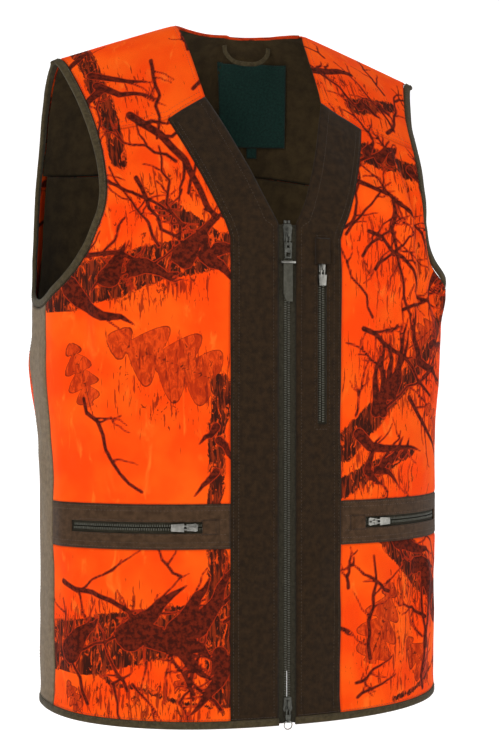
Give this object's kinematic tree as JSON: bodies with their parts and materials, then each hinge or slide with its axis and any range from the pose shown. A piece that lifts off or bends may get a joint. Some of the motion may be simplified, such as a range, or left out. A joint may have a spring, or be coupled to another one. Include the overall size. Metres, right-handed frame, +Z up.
{
  "type": "field vest",
  "caption": "Sleeveless V-neck field vest with a two-way front zip, zipped chest and hand pockets, a hanger loop and bound edges.",
  "frame": {"origin": "midway between the two neck points, at the height of the shoulder ridges, where the wearer's shoulders hold the vest up", "axes": "+Z up; -Y is the front, with the main zip on the YZ plane; +X is the wearer's left"},
  "size_m": [0.4532, 0.2902, 0.7324],
  "materials": {
    "orange_fabric": "matt woven polyester, blaze orange with a printed bark and twig pattern",
    "placket_fabric": "matt brushed cloth, dark olive brown",
    "stretch_side": "matt stretch knit, grey olive",
    "lining": "smooth lining cloth, olive",
    "pocket_fabric": "plain pocketing",
    "trim": "folded woven binding, olive grey",
    "zip_tape": "woven zip tape, grey green",
    "zip_teeth": "moulded coil, satin",
    "dark_metal": "gunmetal lacquer, satin",
    "pale_metal": "satin grey metal",
    "strap": "moulded strap, satin",
    "label": "damask woven label, dark green, plain"
  },
  "bodies": {
    "root": {"right_yoke": "orange_fabric", "right_front_upper": "orange_fabric", "right_front_lower": "orange_fabric", "right_placket": "placket_fabric", "right_pocket_band": "placket_fabric", "right_pocket_garage": "placket_fabric", "right_side_panel": "stretch_side", "right_front_lining": "lining", "right_armhole_binding": "trim", "right_zip_tape": "zip_tape", "right_pocket_tape": "zip_tape", "right_zip_teeth": "zip_teeth", "right_pocket_teeth": "zip_teeth", "right_top_stop": "dark_metal", "right_pocket_bag": "pocket_fabric", "left_yoke": "orange_fabric", "left_front_upper": "orange_fabric", "left_front_lower": "orange_fabric", "left_placket": "placket_fabric", "left_pocket_band": "placket_fabric", "left_pocket_garage": "placket_fabric", "left_side_panel": "stretch_side", "left_front_lining": "lining", "left_armhole_binding": "trim", "left_zip_tape": "zip_tape", "left_pocket_tape": "zip_tape", "left_zip_teeth": "zip_teeth", "left_pocket_teeth": "zip_teeth", "left_top_stop": "dark_metal", "left_pocket_bag": "pocket_fabric", "back_panel": "orange_fabric", "back_yoke": "orange_fabric", "back_lining": "lining", "neck_facing": "lining", "neck_label": "label", "size_tab": "label", "hem_binding": "trim", "chest_zip_tape": "zip_tape", "chest_zip_teeth": "zip_teeth", "chest_garage": "placket_fabric", "chest_pocket_bag": "pocket_fabric"},
    "main_slider": {"top_slider": "dark_metal"},
    "main_link": {"slider_link": "dark_metal"},
    "main_strap": {"strap_puller": "strap", "strap_clip": "pale_metal"},
    "lower_slider": {"bottom_slider": "dark_metal"},
    "lower_pull": {"bottom_pull": "dark_metal"},
    "lower_ring": {"pull_ring": "pale_metal"},
    "chest_zip_slider": {"chest_slider": "pale_metal"},
    "chest_zip_pull": {"chest_pull": "pale_metal"},
    "right_hand_slider": {"right_pocket_slider": "pale_metal"},
    "right_hand_pull": {"right_pocket_pull": "pale_metal"},
    "left_hand_slider": {"left_pocket_slider": "pale_metal"},
    "left_hand_pull": {"left_pocket_pull": "pale_metal"},
    "hanger": {"hanger_loop": "trim"}
  },
  "joints": [
    {"name": "main_zip_slide", "type": "slide", "parent": "root", "child": "main_slider", "axis": [0, 0, -1], "range_m": [0, 0.25]},
    {"name": "main_link_swing", "type": "hinge", "parent": "main_slider", "child": "main_link", "pos_m": [0, -0.1382, -0.23375], "axis": [-1, 0, 0], "range_deg": [0, 110]},
    {"name": "main_strap_swing", "type": "hinge", "parent": "main_link", "child": "main_strap", "pos_m": [0, -0.1382, -0.25885], "axis": [-1, 0, 0], "range_deg": [0, 65]},
    {"name": "lower_zip_slide", "type": "slide", "parent": "root", "child": "lower_slider", "axis": [0, 0, 1], "range_m": [0, 0.12]},
    {"name": "lower_pull_swing", "type": "hinge", "parent": "lower_slider", "child": "lower_pull", "pos_m": [0, -0.1382, -0.70805], "axis": [-1, 0, 0], "range_deg": [0, 150]},
    {"name": "lower_ring_swing", "type": "hinge", "parent": "lower_pull", "child": "lower_ring", "pos_m": [0, -0.1382, -0.72185], "axis": [-1, 0, 0], "range_deg": [0, 40]},
    {"name": "chest_zip_slide", "type": "slide", "parent": "root", "child": "chest_zip_slider", "axis": [0, 0, -1], "range_m": [0, 0.135]},
    {"name": "chest_pull_swing", "type": "hinge", "parent": "chest_zip_slider", "child": "chest_zip_pull", "pos_m": [0.03806, -0.1374, -0.2665], "axis": [-0.9987, -0.0504, 0], "range_deg": [0, 80]},
    {"name": "right_hand_zip_slide", "type": "hinge", "parent": "root", "child": "right_hand_slider", "pos_m": [-0.0609, 0.0438, -0.5255], "axis": [0, 0, -1], "range_deg": [0, 37]},
    {"name": "right_hand_pull_swing", "type": "hinge", "parent": "right_hand_slider", "child": "right_hand_pull", "pos_m": [-0.10026, -0.12919, -0.5255], "axis": [0, 0, 1], "range_deg": [0, 150]},
    {"name": "left_hand_zip_slide", "type": "hinge", "parent": "root", "child": "left_hand_slider", "pos_m": [0.0609, 0.0438, -0.5255], "axis": [0, 0, 1], "range_deg": [0, 37]},
    {"name": "left_hand_pull_swing", "type": "hinge", "parent": "left_hand_slider", "child": "left_hand_pull", "pos_m": [0.10026, -0.12919, -0.5255], "axis": [0, 0, -1], "range_deg": [0, 150]},
    {"name": "hanger_swing", "type": "hinge", "parent": "root", "child": "hanger", "pos_m": [0.02, 0.03461, -0.0107], "axis": [-1, 0, 0], "range_deg": [0, 110]}
  ]
}
